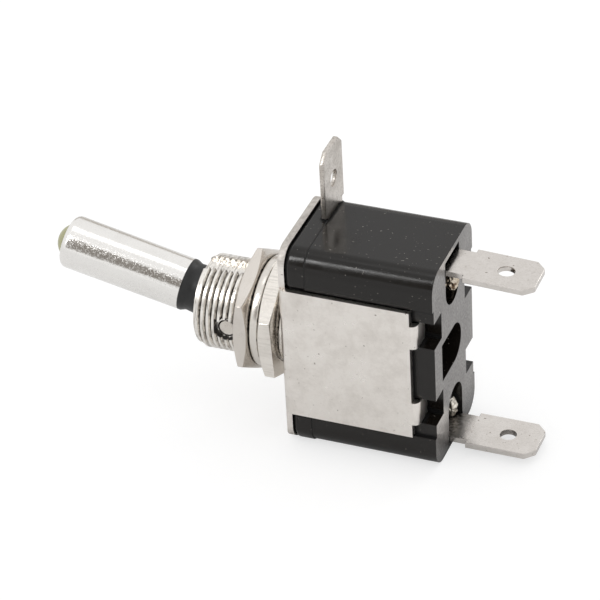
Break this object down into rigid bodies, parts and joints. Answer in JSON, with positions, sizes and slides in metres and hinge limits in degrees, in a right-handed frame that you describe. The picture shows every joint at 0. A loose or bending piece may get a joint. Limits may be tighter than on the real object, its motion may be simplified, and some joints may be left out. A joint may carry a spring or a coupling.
{
  "type": "toggle switch",
  "caption": "Panel toggle switch with a lamp in the tip of its metal lever, a threaded bushing with nuts, and flat blade terminals.",
  "frame": {"origin": "the lever's pivot, on the axis of the threaded bushing", "axes": "-X along the bushing out of the panel, +X towards the rear blades, +Z along the housing's long side towards the ground blade, Y across the housing"},
  "size_m": [0.0637, 0.016, 0.0378],
  "materials": {
    "plated_steel": "bright nickel plate",
    "plated_brass": "nickel plate over turned brass",
    "sleeve_plate": "bright plate",
    "tinned_brass": "bright tin plate",
    "black_moulding": "black phenolic, slight gloss",
    "stem_plastic": "black nylon",
    "lamp_resin": "clear yellow-green resin",
    "lead_wire": "tinned wire",
    "resistor_coat": "tan lacquer",
    "solder": "solder, partly dulled by flux",
    "contact_copper": "rolled copper alloy",
    "contact_silver": "silver",
    "plain_steel": "bright steel",
    "plunger_nylon": "natural nylon"
  },
  "bodies": {
    "switch_body": {"mounting_frame": "plated_steel", "threaded_bushing": "plated_brass", "front_nut": "plated_steel", "lock_washer": "plated_steel", "rear_nut": "plated_steel", "housing_cover": "black_moulding", "housing_base": "black_moulding", "load_terminal": "tinned_brass", "power_terminal": "tinned_brass", "ground_terminal": "tinned_brass", "upper_solder_joint": "solder", "lower_solder_joint": "solder", "fixed_contact": "contact_silver", "pivot_pin": "plain_steel"},
    "lever": {"lever_stem": "stem_plastic", "lever_sleeve": "sleeve_plate", "lamp": "lamp_resin", "long_lamp_lead": "lead_wire", "short_lamp_lead": "lead_wire", "resistor": "resistor_coat", "plunger_spring": "plain_steel"},
    "plunger": {"plunger": "plunger_nylon"},
    "rocker": {"rocker_contact": "contact_copper", "moving_contact": "contact_silver"}
  },
  "joints": [
    {"name": "lever_tilt", "type": "hinge", "parent": "switch_body", "child": "lever", "pos_m": [0, 0, 0], "axis": [0, -1, 0], "range_deg": [0, 24.6]},
    {"name": "plunger_slide", "type": "slide", "parent": "lever", "child": "plunger", "axis": [-0.977, 0, 0.213], "range_m": [0, 0.0005], "stiffness_N_per_m": 100, "deforming": ["plunger_spring"]},
    {"name": "rocker_tip", "type": "hinge", "parent": "switch_body", "child": "rocker", "pos_m": [0.02091, 0, 0], "axis": [0, 1, 0], "range_deg": [0, 13]}
  ],
  "couplings": [
    {"joint": "rocker_tip", "follows": "lever_tilt", "ratio": 0.52846}
  ]
}
